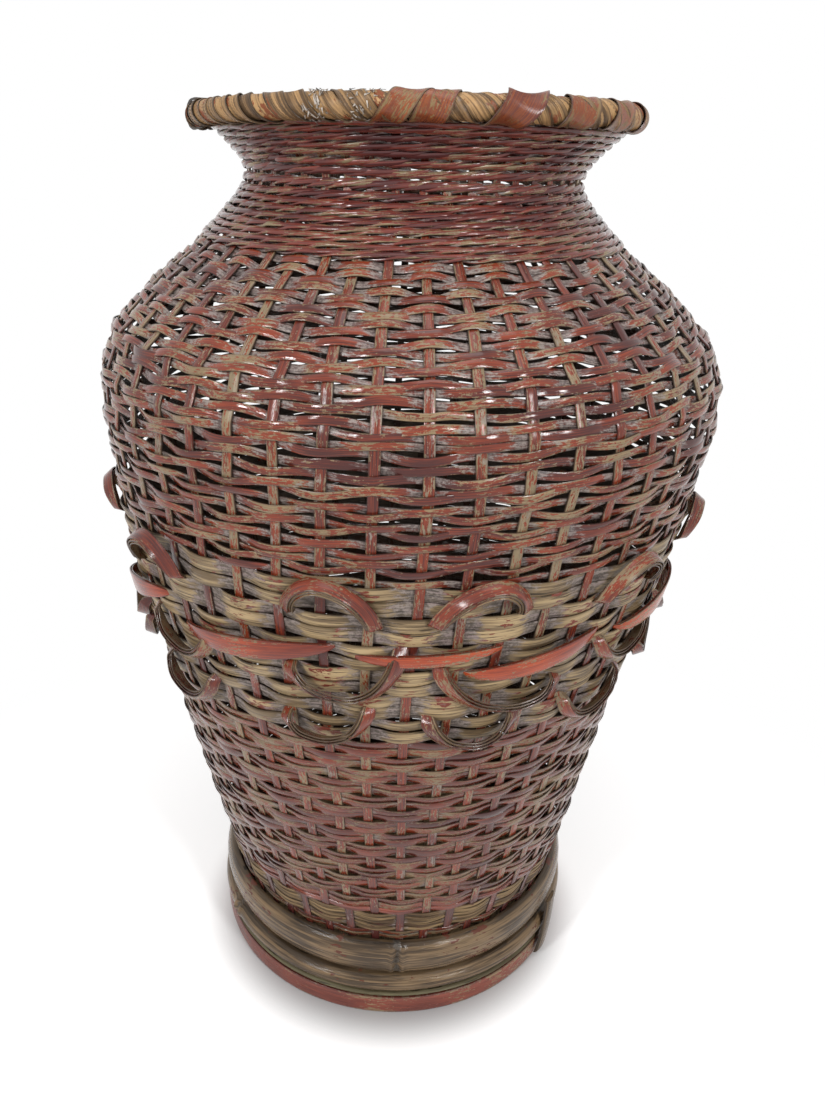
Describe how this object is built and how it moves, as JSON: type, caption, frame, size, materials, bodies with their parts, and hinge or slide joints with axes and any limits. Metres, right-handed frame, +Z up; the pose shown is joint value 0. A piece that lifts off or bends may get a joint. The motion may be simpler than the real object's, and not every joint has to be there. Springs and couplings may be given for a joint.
{
  "type": "ikebana basket",
  "caption": "Woven bamboo flower basket: a round-shouldered jar on a hooped foot, with a twined neck, a bound rim and a wide belly band of looped strips.",
  "frame": {"origin": "middle of the foot, on the surface that the basket stands on", "axes": "+Z up along the basket's own axis, -Y towards the side with the loops' pictured front, +X to its right"},
  "size_m": [0.2396, 0.2396, 0.36],
  "materials": {
    "red_lacquer": "worn red lacquer on bamboo",
    "bare_bamboo": "bare split bamboo, matt",
    "pale_green_bamboo": "pale bamboo skin, satin",
    "aged_hoop_bamboo": "aged brown bamboo skin, polished by handling",
    "rim_binding": "split strip, worn lacquer",
    "lacquered_stake": "thin lacquer, worn at the edges",
    "fine_weaving": "worn red lacquer with dust in the hollows",
    "neck_twining": "dark red lacquered splints",
    "wide_strip": "wide split strips, dusty and matt",
    "loop_strip": "red lacquer, worn to tan along the edges"
  },
  "bodies": {
    "root": {"foot_inner_hoop": "bare_bamboo", "foot_red_hoop": "red_lacquer", "foot_thin_hoop": "pale_green_bamboo", "foot_lower_hoop": "aged_hoop_bamboo", "foot_upper_hoop": "aged_hoop_bamboo", "foot_splice": "aged_hoop_bamboo", "base_mat": "wide_strip", "stake_cage": "lacquered_stake", "base_weavers": "fine_weaving", "base_course": "bare_bamboo", "divider_weaver": "red_lacquer", "lower_weave": "fine_weaving", "band_course_1": "wide_strip", "band_course_2": "wide_strip", "band_course_3": "wide_strip", "band_course_4": "wide_strip", "band_course_5": "wide_strip", "band_course_6": "wide_strip", "upper_arches": "loop_strip", "middle_straps": "loop_strip", "upper_loops": "loop_strip", "lower_loops": "loop_strip", "shoulder_weave": "fine_weaving", "neck_twining": "neck_twining", "rim_core": "bare_bamboo", "rim_wrap": "rim_binding"}
  },
  "joints": []
}
